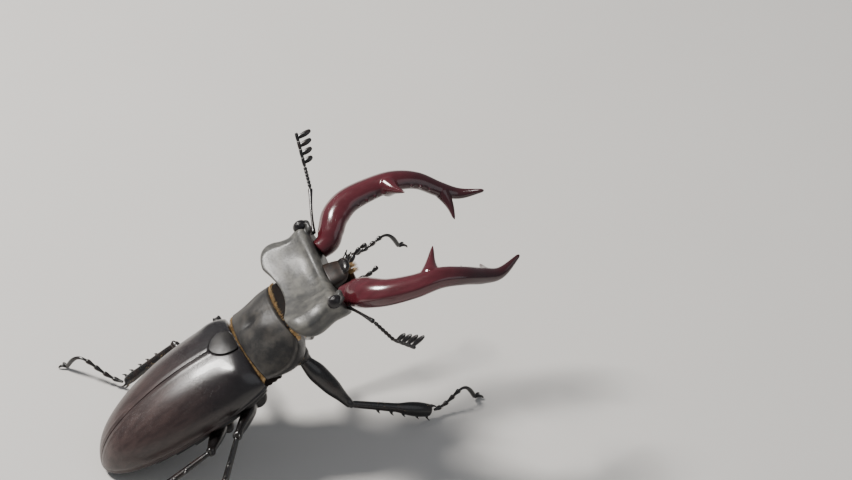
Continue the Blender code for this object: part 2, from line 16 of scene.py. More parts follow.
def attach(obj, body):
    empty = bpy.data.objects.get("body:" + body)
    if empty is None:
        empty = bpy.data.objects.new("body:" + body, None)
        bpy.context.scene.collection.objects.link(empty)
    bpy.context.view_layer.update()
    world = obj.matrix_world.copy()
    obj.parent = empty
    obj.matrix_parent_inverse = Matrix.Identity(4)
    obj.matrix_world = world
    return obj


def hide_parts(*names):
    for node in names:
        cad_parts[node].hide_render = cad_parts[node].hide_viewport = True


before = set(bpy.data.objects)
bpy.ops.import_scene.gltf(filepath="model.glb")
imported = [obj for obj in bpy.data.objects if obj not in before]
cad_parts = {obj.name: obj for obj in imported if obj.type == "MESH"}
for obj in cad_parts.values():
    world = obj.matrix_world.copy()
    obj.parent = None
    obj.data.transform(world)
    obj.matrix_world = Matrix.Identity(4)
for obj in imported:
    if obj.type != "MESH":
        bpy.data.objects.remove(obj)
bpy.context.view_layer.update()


# ---------------------------------------------------------------- stance
# A beetle is three stiff boxes in a row: the hind body under the wing cases, the prothorax and
# the head. This one rears: the hind body slopes up, the prothorax more, the head a little less.

def body_frame(carrier, at, pitch, roll, yaw):
    turn = Matrix.Rotation(radians(yaw), 4, "Z") @ Matrix.Rotation(radians(pitch), 4, "X")
    return carrier @ Matrix.Translation(at) @ turn @ Matrix.Rotation(radians(roll), 4, "Y")


MM = 0.001              # the scene is in metres
STAND_AT = (-0.85, 5.09, 0.0)       # floor below the front of the wing cases, in the part's frame

ground = Matrix.Scale(MM, 4) @ Matrix.Translation(STAND_AT) @ Matrix.Rotation(pi, 4, "Z")
hind = body_frame(ground, (0.0, 0.0, 18.6), 26.6, 2.2, 0.0)
prothorax = body_frame(hind, (0.0, 1.0, 0.0), 16.6, 0.0, -3.5)
head = body_frame(prothorax, (-0.3, 10.1, 1.2), -12.9, -2.5, -1.6)


# ---------------------------------------------------------------- wing cases
# The two hardened front wings, of smooth chitin with fine pits. They meet in a seam down the
# back, leave a notch for the shield plate, and end at the sides in a narrow raised rim.

class Flow:
    """A value running through a finish's nodes, which takes part in sums like a number."""

    def __init__(self, paint, socket):
        self.paint = paint
        self.socket = socket

    def sum(self, operation, first, second):
        return self.paint.node("ShaderNodeMath", {"operation": operation}, {0: first, 1: second})

    def __add__(self, other):
        return self.sum("ADD", self, other)

    def __radd__(self, other):
        return self.sum("ADD", other, self)

    def __sub__(self, other):
        return self.sum("SUBTRACT", self, other)

    def __rsub__(self, other):
        return self.sum("SUBTRACT", other, self)

    def __mul__(self, other):
        return self.sum("MULTIPLY", self, other)

    def __rmul__(self, other):
        return self.sum("MULTIPLY", other, self)

    def between(self, low, high):
        """0 below low, 1 above high, and an even slope that eases at both."""
        return self.paint.node(
            "ShaderNodeMapRange", {"interpolation_type": "SMOOTHSTEP"}, {0: self, 1: low, 2: high})


class Finish:
    """A Principled material. Its constants are set here, and its varying inputs are fed later."""

    def __init__(self, name, **constants):
        self.material = bpy.data.materials.new(name)
        self.material.use_nodes = True
        self.tree = self.material.node_tree
        self.shader = self.tree.nodes["Principled BSDF"]
        for socket, value in constants.items():
            self.shader.inputs[socket.replace("_", " ")].default_value = value

    def node(self, kind, settings, sockets, out=0):
        """Any node: its settings first, then the values or flows of its sockets."""
        made = self.tree.nodes.new(kind)
        for name, value in settings.items():
            setattr(made, name, value)
        for place, value in sockets.items():
            self.feed(made.inputs[place], value)
        return Flow(self, made.outputs[out])

    def feed(self, socket, value):
        socket = self.shader.inputs[socket] if isinstance(socket, str) else socket
        if isinstance(value, Flow):
            self.tree.links.new(value.socket, socket)
        else:
            socket.default_value = value

    def place(self, part, stretch=(1.0, 1.0, 1.0)):
        """Millimetres in the frame of a body part, squeezed along each axis."""
        where = self.node("ShaderNodeTexCoord", {}, {}, "Object")
        return self.node("ShaderNodeMapping", {"vector_type": "TEXTURE"}, {
            "Vector": where, "Location": part.to_translation(), "Rotation": part.to_euler(),
            "Scale": [MM * along for along in stretch]})

    def axis(self, place, name):
        return self.node("ShaderNodeSeparateXYZ", {}, {0: place}, name)

    def cloud(self, place, per_mm, detail=3.0, roughness=0.55):
        return self.node("ShaderNodeTexNoise", {}, {
            "Vector": place, "Scale": per_mm, "Detail": detail, "Roughness": roughness}, "Fac")

    def cells(self, place, per_mm, randomness=1.0):
        return self.node("ShaderNodeTexVoronoi", {}, {
            "Vector": place, "Scale": per_mm, "Randomness": randomness}, "Distance")

    def mix(self, factor, first, second):
        """One colour going over into another."""
        return self.node("ShaderNodeMix", {"data_type": "RGBA"}, {
            0: factor, 6: colour(first), 7: colour(second)}, 2)

    def relief(self, height, depth_mm):
        """Surface relief, with height 0 to 1 standing for depth_mm."""
        self.feed("Normal", self.node("ShaderNodeBump", {}, {
            "Height": height, "Distance": depth_mm * MM, "Strength": 1.0}))


def colour(value):
    return value if isinstance(value, Flow) else (*value, 1.0)


def face_outwards(bm, verts):
    """Turn a closed skin the right way out, by the sign of the volume that it holds."""
    faces = list(dict.fromkeys(face for vert in verts for face in vert.link_faces))
    middle = verts[0].co.copy()
    held = 0.0
    for face in faces:
        first, *rest = (vert.co - middle for vert in face.verts)
        held += sum(first.dot(second.cross(third)) for second, third in zip(rest, rest[1:]))
    if held < 0.0:
        bmesh.ops.reverse_faces(bm, faces=faces)


def pull(bm, around, along, shape, place):
    """A ball pulled over a shape: shape(t, a) is its point t of the way along, at angle a round."""
    verts = bmesh.ops.create_uvsphere(bm, u_segments=around, v_segments=along, radius=1.0)["verts"]
    for vert in verts:
        t = acos(max(-1.0, min(1.0, -vert.co.z))) / pi
        vert.co = place @ Vector(shape(t, atan2(vert.co.y, vert.co.x)))
    face_outwards(bm, verts)


def body(around, along, shape, place):
    """A mesh of its own with one such shape."""
    bm = bmesh.new()
    pull(bm, around, along, shape, place)
    return bm


def capsule(t, share, depth):
    """Where along a body with rounded ends t falls, and how full the body is there.

    Each rounded end takes a share of t, and reaches a depth of the body's length.
    """
    near = min(t, 1.0 - t) / share
    if near >= 1.0:
        return depth + (1.0 - 2.0 * depth) * (t - share) / (1.0 - 2.0 * share), 1.0
    reach = depth * (1.0 - cos(pi / 2 * near))
    return (reach if t < 0.5 else 1.0 - reach), sin(pi / 2 * near)


def power(value, exponent):
    return abs(value) ** exponent * (1.0 if value >= 0.0 else -1.0)


def hump(distance, width):
    return exp(-(distance / width) ** 2)


def show(name, bm, finish, nodes=(), smooth=True):
    """Put a finished mesh in the scene, riding on the body, in place of its plain solids."""
    mesh = bpy.data.meshes.new(name)
    bm.to_mesh(mesh)
    bm.free()
    if smooth:
        mesh.shade_smooth()
    mesh.materials.append(finish.material)
    made = bpy.data.objects.new(name, mesh)
    bpy.context.scene.collection.objects.link(made)
    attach(made, "root")
    if nodes:
        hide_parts(*nodes)
    return made


def blend(piece, grain_mm, rounds):
    """Run the overlapping bodies of a piece together into one smooth skin."""
    remesh = piece.modifiers.new("Blend", "REMESH")
    remesh.mode = "VOXEL"
    remesh.voxel_size = grain_mm * MM
    remesh.use_smooth_shade = True
    soften = piece.modifiers.new("Soften", "SMOOTH")
    soften.factor = 0.5
    soften.iterations = rounds
    depsgraph = bpy.context.evaluated_depsgraph_get()
    blended = bpy.data.meshes.new_from_object(piece.evaluated_get(depsgraph))
    material = piece.data.materials[0]
    piece.modifiers.clear()
    piece.data = blended
    blended.materials.clear()
    blended.materials.append(material)


SIDES = {"left": -1.0, "right": 1.0}
CASE_LENGTH = 32.6
CASE_SEAM = 0.07        # gap between the two cases
CASE_CORNER = 0.18      # radius of the edge beside the seam
CASE_TURNS = (0.07, 0.14, 0.76)     # round the section: inner face, rounded edge and dome end here
NOTCH_DEPTH = 0.45      # the bed of the shield plate


def case_half_width(s):
    return (10.3 - 0.9 * exp(-s * CASE_LENGTH / 2.5)) * max(1 - s ** 2.6, 0.0) ** 0.52


def case_edge(s):
    return -1.2 - 2.0 * s


def case_crest(s):
    arc = 8.6 * max(1 - ((s - 0.32) / 0.69) ** 2, 0.0) ** 0.56 - 3.0
    return arc - 1.0 * exp(-s * CASE_LENGTH / 0.7)


SHIELD_MIDDLE = -2.2


def shield_reach(a):
    """How far the shield plate reaches from its middle, at angle a."""
    if sin(a) > 0:
        return (abs(cos(a) / 2.7) ** 4 + abs(sin(a) / 1.75) ** 4) ** -0.25
    return (abs(cos(a) / 2.7) ** 1.7 + abs(sin(a) / 2.6) ** 1.7) ** (-1 / 1.7)


def case_shape(side):
    def shape(t, a):
        s, full = capsule(t, 0.045, 0.010)
        width, edge = case_half_width(s), case_edge(s)
        rise = (case_crest(s) - edge) * max(1 - s ** 24, 0.0) ** 0.5
        corner = min(CASE_CORNER, 0.4 * width, 0.5 * rise)
        inner, rounded, dome = CASE_TURNS
        q = (a + pi) / (2 * pi)
        if q < inner:                               # up the inner face
            x, z = 0.0, (rise - corner) * q / inner
        elif q < rounded:                           # over the rounded edge beside the seam
            b = pi / 2 * (q - inner) / (rounded - inner)
            x, z = corner * (1 - cos(b)), rise - corner * (1 - sin(b))
        elif q < dome:                              # down the dome to the side
            start = acos(min(1.0, (corner / max(width, 0.01)) ** (1 / 0.87)))
            b = start * (1 - (q - rounded) / (dome - rounded))
            x, z = width * max(cos(b), 0.0) ** 0.87, rise * max(sin(b), 0.0) ** 0.87
            rim = 0.17 * hump(z - 0.24, 0.17) - 0.08 * hump(z - 0.70, 0.2)
            x += rim * min(1.0, width / 3)
            z += 0.05 * hump(x - 0.8, 0.3) * min(1.0, width / 3)
        else:                                       # back under
            u = (q - dome) / (1 - dome)
            x, z = width * (1 - u), 0.25 * sin(pi * u)
        y = -s * CASE_LENGTH
        z += edge
        shoulder = 0.45 * exp(-((x - 7.4) ** 2 + (y + 2.9) ** 2) / 4.0)
        ripple = 0.05 * noise.noise((x * 0.25 + side * 7, y * 0.16, z * 0.2))
        ahead = y - SHIELD_MIDDLE
        outside = (x * x + ahead * ahead) ** 0.5 / shield_reach(atan2(ahead, x))
        notch = NOTCH_DEPTH * max(0.0, min(1.0, (1.09 - outside) / 0.06)) if z > 2.0 else 0.0
        z += shoulder + ripple - notch
        middle_z = edge + 0.45 * rise
        x, z = width * 0.45 + (x - width * 0.45) * full, middle_z + (z - middle_z) * full
        return side * (CASE_SEAM / 2 + x), y, z
    return shape


case_finish = Finish("wing_case_brown", IOR=1.52, Coat_Weight=0.18, Coat_Roughness=0.08)
spot = case_finish.place(hind)
streaks = case_finish.cloud(case_finish.place(hind, (1.0, 5.0, 1.0)), 0.9, 4.0)
blotches = case_finish.cloud(spot, 0.22, 3.0)
rearward = (case_finish.axis(spot, "Y") * -1.0 + blotches * 9.0 - 4.5).between(2.0, 20.0)
pits = case_finish.cells(spot, 5.5).between(0.05, 0.32)
grain = case_finish.cloud(spot, 14.0, 3.0)
brown = case_finish.mix(
    streaks.between(0.3, 0.7), (0.030, 0.017, 0.016), (0.060, 0.036, 0.033))
case_colour = case_finish.mix(rearward, (0.012, 0.010, 0.011), brown)
# Darker in the pits: painted shade.
case_finish.feed("Base Color", case_finish.mix(pits, (0.010, 0.006, 0.006), case_colour))
case_finish.feed("Roughness", 0.17 + rearward * 0.10 + grain * 0.12)
case_finish.relief(pits * 0.7 + grain * 0.3, 0.035)

for name, side in SIDES.items():
    show("wing_case_" + name, body(128, 120, case_shape(side), hind),
         case_finish, ["elytron_" + name])


# ---------------------------------------------------------------- shield plate
# The scutellum: a small polished plate of the body's own black shell, set between the bases
# of the wing cases, a little domed and finely pitted.

def shaded(tint, share):
    return [share * channel for channel in tint]


def chitin(name, part, clean, dust_and_sheen, dullness, pits_per_mm, painted_shade=None, **constants):
    """Shell with fine pits and rubbed lines, paler in patches with dust and painted sheen, darkened
    in the pits with painted shade, and darker with painted shade where the given mask marks.
    """
    finish = Finish(name, **constants)
    spot = finish.place(part)
    pits = finish.cells(spot, pits_per_mm).between(0.08, 0.42)
    grain = finish.cloud(spot, 10.0, 4.0)
    dust_and_sheen_patches = finish.cloud(spot, 0.40, 5.0, 0.62).between(0.36, 0.69)
    rubbed = finish.cloud(finish.place(part, (0.5, 6.0, 0.5)), 2.6, 2.0).between(0.60, 0.70)
    # Paler in patches: partly dust, partly painted sheen.
    shade = finish.mix(dust_and_sheen_patches, clean, dust_and_sheen)
    # Painted shade, where the given mask marks.
    if painted_shade:
        painted_shade_mask = painted_shade(finish.axis(spot, "X"), finish.axis(spot, "Y"))
        shade = finish.mix(painted_shade_mask, shade, shaded(clean, 0.5))
    # Darker in the pits: painted shade.
    finish.feed("Base Color", finish.mix(0.5 + pits * 0.5, shaded(clean, 0.4), shade))
    finish.feed("Roughness", dullness + dust_and_sheen_patches * 0.15 + grain * 0.15 - rubbed * 0.06)
    finish.relief(pits * 0.62 + grain * 0.38, 0.055)
    return finish


shell_finish = chitin("shell_black", hind, (0.008, 0.007, 0.007), (0.026, 0.023, 0.021),
                      0.26, 5.5, IOR=1.5)


def shield_shape(t, a):
    reach = 1.05 * shield_reach(a) * sin(pi * t) ** 0.5
    y = SHIELD_MIDDLE + reach * sin(a)
    z = case_crest(max(-y, 0.15) / CASE_LENGTH) + 0.05
    z += 0.22 * (1 - sin(pi * t)) if t > 0.5 else -0.3 - 1.2 * (1 - sin(pi * t))
    return reach * cos(a), y, z


show("shield_plate", body(64, 36, shield_shape, hind), shell_finish,
     ["scutellum"])


# ---------------------------------------------------------------- belly
# The underside of the hind body: the broad breast plate that carries middle and hind legs,
# then five belly plates, each with its hind edge lapped over the next.

BELLY_SPLIT = -12.6     # between breast plate and belly plates
TROUGH_TOP = 0.2        # how much of the way round is the flat top


def trough(a, width, y, top, rim, depth, groove=0.0):
    """A point of an underside's section: flat on top, bellied below, with a shallow groove."""
    q = (a + pi) / (2 * pi)
    if q < TROUGH_TOP:
        return width * (1 - 2 * q / TROUGH_TOP), y, top + rim
    b = pi * (1 - (q - TROUGH_TOP) / (1 - TROUGH_TOP))
    depth -= groove * hump(width * cos(b), 0.35)
    return width * power(cos(b), 0.9), y, top - 0.3 - depth * power(sin(b), 1.35)


def belly_shape(y_from, y_to, plates):
    def shape(t, a):
        s, full = capsule(t, 0.05, 0.02)
        y = y_from + (y_to - y_from) * s
        u = -y / CASE_LENGTH
        lap = 0.035 * ((s * plates) % 1.0) - 0.02 if plates else 0.0
        depth = 5.2 * max(1 - max(u - 0.25, 0.0) ** 2 / 0.56, 0.05) * (1 - 0.35 * exp(y / 1.5))
        width = (case_half_width(u) - 0.6) * (1 + lap) * full
        return trough(a, width, y, case_edge(u) - 0.1, 0.2 * full, depth * (1 + 2 * lap) * full,
                      0.0 if plates else 0.12)
    return shape


breast_plate_shape = belly_shape(-0.4, BELLY_SPLIT, 0)
show("breast_plate", body(96, 60, breast_plate_shape, hind), shell_finish,
     ["metathorax"])
show("belly_plates", body(96, 110, belly_shape(BELLY_SPLIT + 0.2, -31.6, 5), hind),
     shell_finish, ["abdomen"])


# ---------------------------------------------------------------- waist
# Dark leathery skin closes the joint between the hind body and the prothorax. It folds as the
# beetle rears, and shows only as a dark band between them.

skin_finish = Finish("joint_skin", IOR=1.4, Specular_IOR_Level=0.15)
folds = skin_finish.cloud(skin_finish.place(hind, (3.0, 0.4, 1.0)), 1.4, 4.0)
# Darker down in the folds: painted shade in the creases.
skin_finish.feed("Base Color", skin_finish.mix(
    folds.between(0.3, 0.7), (0.003, 0.002, 0.002), (0.010, 0.006, 0.004)))
skin_finish.feed("Roughness", 0.45 + folds * 0.35)
skin_finish.relief(folds, 0.12)


def waist_shape(t, a):
    s, full = capsule(t, 0.2, 0.08)
    crease = 1 + 0.012 * sin(24 * s)
    height = 3.6 if sin(a) > 0 else 3.2
    return (7.9 * power(cos(a), 0.75) * full * crease, -1.0 + 3.8 * s - 0.18 * height * sin(a),
            -1.3 + height * power(sin(a), 0.75) * full * crease)


show("waist_skin", body(72, 30, waist_shape, hind), skin_finish, ["waist"])


# ---------------------------------------------------------------- prothorax
# The collar plate and the part below it, which carries the front legs. It is dull black, finely
# pitted, dented in the middle and at each side, and edged all round with a narrow bead.

COLLAR_LENGTH = 9.1
COLLAR_UNDERSIDE = 0.22     # how much of the way round the collar plate is its flat underside


def collar_half_width(y):
    t = y / COLLAR_LENGTH
    return 9.35 * (1 - 0.12 * (t - 0.4) ** 2 - 0.75 * max(t - 0.62, 0) ** 1.8)


def collar_margin(y):
    return 0.6 - 1.6 * max(sin(pi * min(max(y, 0.0) / COLLAR_LENGTH, 1.0)), 0.0) ** 0.8


def collar_crest(y):
    t = y / COLLAR_LENGTH
    ends = 0.9 * exp(-max(y, 0) / 0.35) + 0.9 * exp((min(y, COLLAR_LENGTH) - COLLAR_LENGTH) / 0.35)
    return 4.7 * (1 - 0.5 * (t - 0.45) ** 2) - ends


def collar_shape(t, a):
    s, full = capsule(t, 0.07, 0.025)
    y = 0.1 + s * (COLLAR_LENGTH - 0.05)
    width, edge = collar_half_width(y), collar_margin(y)
    rise = collar_crest(y) - edge
    q = (a + pi) / (2 * pi)
    if q < COLLAR_UNDERSIDE:
        x, z = width * (1 - 2 * q / COLLAR_UNDERSIDE), -0.25
    else:
        b = pi * (1 - (q - COLLAR_UNDERSIDE) / (1 - COLLAR_UNDERSIDE))
        x, z = width * power(cos(b), 0.95), rise * max(sin(b), 0.0) ** 1.55
        bead = 0.20 * hump(z - 0.16, 0.16) - 0.09 * hump(z - 0.62, 0.25)
        x += power(cos(b), 0.5) * bead
        dents = 0.50 * exp(-(x * x / 1.3 + (y - 4.0) ** 2 / 2.2))
        dents += 0.30 * exp(-((abs(x) - 5.3) ** 2 + (y - 5.0) ** 2) / 1.6)
        dents += 0.10 * hump(x, 0.4) * sin(pi * s)
        swell = 0.16 * exp(-((abs(x) - 3.0) ** 2 + (y - 5.2) ** 2) / 3.0)
        lip = 0.16 * (hump(y - 0.35, 0.25) + hump(y - COLLAR_LENGTH + 0.3, 0.25))
        z += (swell - dents + lip + 0.10 * noise.noise((x * 0.4, y * 0.4, 3.0))) * sin(b)
    middle = edge + 0.3 * rise
    return x * full, y, middle + (edge + z - middle) * full


def breast_shape(t, a):
    s, full = capsule(t, 0.08, 0.04)
    y = 0.3 + 8.3 * s
    return trough(a, (collar_half_width(y) - 0.7) * full, y, collar_margin(y) - 0.3, 0.0,
                  5.4 * (1 - 0.018 * (y - 4.5) ** 2) * full)


# Painted shade: the colour darkens in the dent in the middle of the collar plate.
def middle_dent_shade(x, y):
    return (x * x + (y - 4.0) * (y - 4.0) * 0.5).between(2.2, 0.1)


collar_finish = chitin("collar_black", prothorax, (0.012, 0.011, 0.011), (0.052, 0.046, 0.039),
                       0.36, 6.5, middle_dent_shade, IOR=1.5)
show("collar_plate", body(160, 80, collar_shape, prothorax), collar_finish,
     ["pronotum"])
show("collar_underside", body(96, 48, breast_shape, prothorax), shell_finish,
     ["prosternum"])


# ---------------------------------------------------------------- neck
# A short collar of the same dark skin lets the head rock on the prothorax. It shows only as a
# dark slit behind the head.

def neck_shape(t, a):
    s, full = capsule(t, 0.25, 0.1)
    rise = 2.1 * sin(a) if sin(a) > 0 else 2.4 * sin(a)
    return 6.6 * power(cos(a), 0.8) * full, -2.4 + 4.9 * s - 0.28 * rise, -0.4 + rise * full


show("neck_skin", body(64, 20, neck_shape, head), skin_finish, ["neck"])


# ---------------------------------------------------------------- head
# A broad, heavy box wider than the collar: two rounded lobes behind, a hollow across the top,
# and a sharp ridge in front that ends at each side in a raised corner above the jaw's hinge.

HEAD_STATIONS = (       # y, half width, height at the middle, height at the sides
    (0.5, 7.4, 2.7, 3.3), (0.75, 9.4, 3.0, 4.1), (1.4, 11.1, 3.0, 4.6), (2.5, 12.0, 2.8, 4.8),
    (3.7, 12.1, 2.5, 4.6), (5.0, 11.6, 2.1, 4.3), (6.3, 11.2, 1.8, 4.2), (7.5, 11.5, 1.8, 4.4),
    (8.4, 11.9, 2.1, 4.7), (9.1, 11.7, 1.7, 4.3), (9.5, 10.9, 0.6, 3.2),
)
HEAD_FLOOR = -4.6       # its underside
HEAD_BACK, HEAD_FRONT = 0.10, 0.14      # how much of the way along are its rounded ends


def smooth_at(points, t):
    """The point t of the way along the smooth curve through points of any dimension."""
    points = [Vector(p) for p in points]
    ends = [2 * points[0] - points[1], *points, 2 * points[-1] - points[-2]]
    place = max(0.0, min(t, 1.0)) * (len(points) - 1)
    i = min(int(place), len(points) - 2)
    u = place - i
    a, b, c, d = ends[i:i + 4]
    bend, twist = 2 * a - 5 * b + 4 * c - d, 3 * b - a - 3 * c + d
    return 0.5 * (2 * b + (c - a) * u + bend * u * u + twist * u ** 3)


def smooth_value(values, t):
    return smooth_at([(value, 0.0) for value in values], t).x


def heading(points, t):
    return (smooth_at(points, t + 0.01) - smooth_at(points, t - 0.01)).normalized()


def square_to(ahead, direction):
    """The direction, turned the least that sets it square to ahead."""
    return (direction - ahead * direction.dot(ahead)).normalized()


def tube(points, radii, flat=1.0, side_axis=(1.0, 0.0, 0.0), cap=0.08):
    """A round or flattened rod along a smooth curve; radii are spread evenly along it."""
    points = [Vector(p) for p in points]
    length = sum((q - p).length for p, q in zip(points, points[1:]))
    rows = {}

    def shape(t, a):
        key = round(t, 5)
        if key not in rows:
            rim = max(radii[0], radii[-1])
            s, full = capsule(t, cap, min(0.45, 0.6 * rim / length))
            ahead = heading(points, s)
            side = square_to(ahead, Vector(side_axis))
            radius = smooth_value(radii, s) * full
            rows[key] = smooth_at(points, s), side * radius, side.cross(ahead) * radius * flat
        here, side, up = rows[key]
        return here + side * cos(a) + up * sin(a)
    return shape


head_rows = {}


def head_shape(t, a):
    key = round(t, 5)
    if key not in head_rows:
        station = smooth_at(HEAD_STATIONS, (t - HEAD_BACK) / (1 - HEAD_BACK - HEAD_FRONT))
        end = min(t / HEAD_BACK, (1 - t) / HEAD_FRONT, 1.0)
        head_rows[key] = station, sin(pi / 2 * end)
    (y, width, middle, sides), full = head_rows[key]
    level = sides - 1.3
    forward = max(y, 0) / 9.5
    if sin(a) >= 0:
        x = power(cos(a), 0.72)
        top = middle + (sides - middle) * min(abs(x) / 0.8, 1.0) ** 2 - level
        z = level + top * max(1 - abs(x) ** 7, 0.0) ** 0.5
    else:
        x = power(cos(a), 1.1)
        z = level - (level - HEAD_FLOOR) * power(-sin(a), 0.9)
    x *= full
    z = -0.8 + (z + 0.8) * full
    lean = -0.28 * z * (1 - forward) + (x * x - 0.3) * forward ** 2
    lean += 1.5 * max(1 - (width * x / 7.0) ** 2, 0.0) * (1 - forward) ** 3 * full
    lump = 0.10 * noise.noise((x * 4, y * 0.5, 1.0)) * (full if z > 0 else 0.0)
    return width * x, y + lean, z + lump


# Painted shade: the colour darkens on the front slope below the ridge.
def front_slope_shade(x, y):
    return y.between(8.9, 10.0) * 0.8


# Painted sheen: the head's pale grey, paler still in patches, stands in for the dull sheen of its
# black shell in light.
head_finish = chitin("head_grey", head, (0.044, 0.043, 0.040), (0.138, 0.132, 0.114),
                     0.36, 5.5, front_slope_shade, IOR=1.6, Coat_Weight=0.25, Coat_Roughness=0.28)
skull = body(144, 100, head_shape, head)
for side in SIDES.values():                         # the fingers of shell across the eyes
    finger = (8.8 * side, 9.9, 3.3), (10.8 * side, 10.3, 3.9), (12.0 * side, 9.3, 4.0)
    pull(skull, 24, 24, tube(finger, (1.1, 0.95, 0.8, 0.6, 0.35), 0.6), head)
blend(show("head_shell", skull, head_finish, ["head"]), 0.15, 4)


# ---------------------------------------------------------------- eyes
# Small, bulging and black, set at the upper front corners of the head. A finger of shell grows
# from the head across the front half of each.

eye_finish = Finish("eye_black", IOR=1.42, Coat_Weight=0.15, Coat_Roughness=0.05)
spot = eye_finish.place(head)
facets = eye_finish.cells(spot, 14.0, 0.2)
eye_finish.feed("Base Color", eye_finish.mix(facets, (0.005, 0.005, 0.007), (0.018, 0.014, 0.014)))
eye_finish.feed("Roughness", 0.16 + facets * 0.2)
eye_finish.relief(facets, 0.02)


def ball(centre, radii):
    def shape(t, a):
        r = sin(pi * t)
        return (centre[0] + radii[0] * r * cos(a), centre[1] - radii[1] * cos(pi * t),
                centre[2] + radii[2] * r * sin(a))
    return shape


for name, side in SIDES.items():
    show("eye_ball_" + name, body(48, 32, ball((side * 11.0, 9.1, 4.0), (1.1, 1.35, 1.2)), head),
         eye_finish, ["eye_" + name])


# ---------------------------------------------------------------- mouth
# Between the jaws: the dark brown clypeus slopes down from the ridge to a shiny upper lip, with
# the chin plate below it and a jointed palp at each side.

mouth_finish = Finish("mouth_brown", IOR=1.45)
spot = mouth_finish.place(head)
grain = mouth_finish.cloud(spot, 6.0, 4.0)
front_edge = mouth_finish.axis(spot, "Y").between(11.4, 13.4)
brown = mouth_finish.mix(mouth_finish.cloud(spot, 0.9).between(0.35, 0.65),
                         (0.008, 0.005, 0.004), (0.022, 0.011, 0.007))
mouth_finish.feed("Base Color", mouth_finish.mix(front_edge, brown, (0.060, 0.024, 0.011)))
mouth_finish.feed("Roughness", 0.34 + grain * 0.25)
mouth_finish.relief(grain, 0.02)


def stacked(rows, roundness):
    """A blunt body through rows of (y, half width, top, bottom)."""
    def shape(t, a):
        s, full = capsule(t, 0.14, 0.0)
        y, width, top, bottom = smooth_at(rows, s)
        across, up = power(cos(a), roundness) * full, power(sin(a), roundness) * full
        return width * across, y, (top + bottom) / 2 + (top - bottom) / 2 * up
    return shape


limb_finish = Finish("leg_black", IOR=1.52, Coat_Weight=0.25, Coat_Roughness=0.06)
spot = limb_finish.place(ground)
pits = limb_finish.cells(spot, 5.0).between(0.05, 0.3)
grain = limb_finish.cloud(spot, 10.0, 3.0)
reddish = limb_finish.cloud(spot, 0.5, 3.0).between(0.45, 0.7)
limb_black = limb_finish.mix(reddish, (0.006, 0.005, 0.005), (0.018, 0.010, 0.008))
# Darker in the pits: painted shade.
limb_finish.feed("Base Color", limb_finish.mix(pits, (0.004, 0.003, 0.003), limb_black))
limb_finish.feed("Roughness", 0.18 + grain * 0.18)
limb_finish.relief(pits * 0.6 + grain * 0.4, 0.022)

clypeus_shape = stacked((
    (9.2, 3.1, 1.4, -1.6), (10.6, 2.9, 1.0, -1.6), (11.6, 2.6, 0.6, -1.4),
    (12.3, 2.1, 0.4, -0.8), (12.7, 1.5, 0.3, -0.4)), 0.85)
lip_shape = stacked((
    (11.9, 1.9, 0.7, -0.1), (12.6, 1.8, 0.95, -0.2), (13.2, 1.3, 0.85, -0.1),
    (13.5, 0.7, 0.6, 0.1)), 0.85)
chin_shape = stacked((
    (9.3, 3.0, -2.0, -4.4), (10.8, 3.2, -2.0, -4.3), (12.0, 2.8, -2.0, -3.7),
    (12.9, 1.6, -2.2, -3.1)), 0.7)
show("clypeus_plate", body(56, 40, clypeus_shape, head), mouth_finish, ["clypeus"])
show("upper_lip", body(48, 32, lip_shape, head), limb_finish)
show("chin_plate", body(56, 30, chin_shape, head), mouth_finish, ["chin"])


def joint(bm, along, points, radii, side_axis=(0, 0, 1)):
    """One short joint of a palp or a feeler, with blunt ends."""
    pull(bm, 16, along, tube(points, radii, 1.0, side_axis, 0.2), head)


for name, side in SIDES.items():
    palp = bmesh.new()
    joint(palp, 16, ((1.2 * side, 11.9, -2.5), (1.8 * side, 12.5, -2.4), (2.3 * side, 13.1, -2.25)),
          (0.30, 0.32, 0.26))
    line = (2.2 * side, 12.9, -2.3), (3.6 * side, 15.4, -1.6), (3.3 * side, 17.5, -1.4)
    knots = [smooth_at(line, k / 3) for k in range(4)]
    for near, far in zip(knots, knots[1:]):
        joint(palp, 16, (near, near.lerp(far, 0.5), far), (0.24, 0.33, 0.42, 0.34))
    show("palp_joints_" + name, palp, limb_finish, ["palp_" + name])


# ---------------------------------------------------------------- jaws
# The male's antlers: polished maroon mandibles, darker along the inner edge and towards the tip.
# Each has a row of small teeth, one long tooth past the middle and a forked tip.

JAW_LINE = (
    (7.0, 9.6, 0.4), (7.6, 11.8, 0.4), (8.9, 13.2, 1.0), (11.0, 15.2, 1.6), (12.8, 18.2, 1.4),
    (13.5, 22.6, 0.3), (13.3, 27.0, -1.0), (12.9, 30.4, -3.6), (11.6, 32.8, -7.0),
    (10.4, 35.4, -9.5), (8.1, 39.5, -10.1),
)
JAW_HALF_WIDTHS = (1.9, 2.3, 2.6, 2.65, 2.45, 2.2, 1.95, 1.7, 1.5, 1.05, 0.3)
JAW_HALF_HEIGHTS = (1.7, 2.0, 2.15, 2.2, 2.05, 1.85, 1.7, 1.5, 1.35, 0.95, 0.3)
JAW_HINGE = Vector((7.2, 11.0, 0.0))
JAW_OPENING = {"left": -0.4, "right": 6.6}      # degrees
BRANCHES = (        # the long tooth and the fork's inner prong: root to tip, and radii
    (((13.2, 25.4, -0.7), (10.0, 26.6, 0.0), (6.9, 28.1, 0.6)), (2.5, 1.65, 0.9, 0.48, 0.2)),
    (((11.7, 33.0, -7.2), (8.6, 32.9, -8.9), (5.5, 32.3, -9.9)), (1.7, 1.15, 0.75, 0.45, 0.2)),
)
SMALL_TEETH = (     # how far along the jaw, and size
    (0.40, 0.5), (0.435, 0.7), (0.47, 0.8), (0.505, 0.75), (0.54, 0.8),
    (0.66, 0.6), (0.70, 0.7), (0.74, 0.55),
)


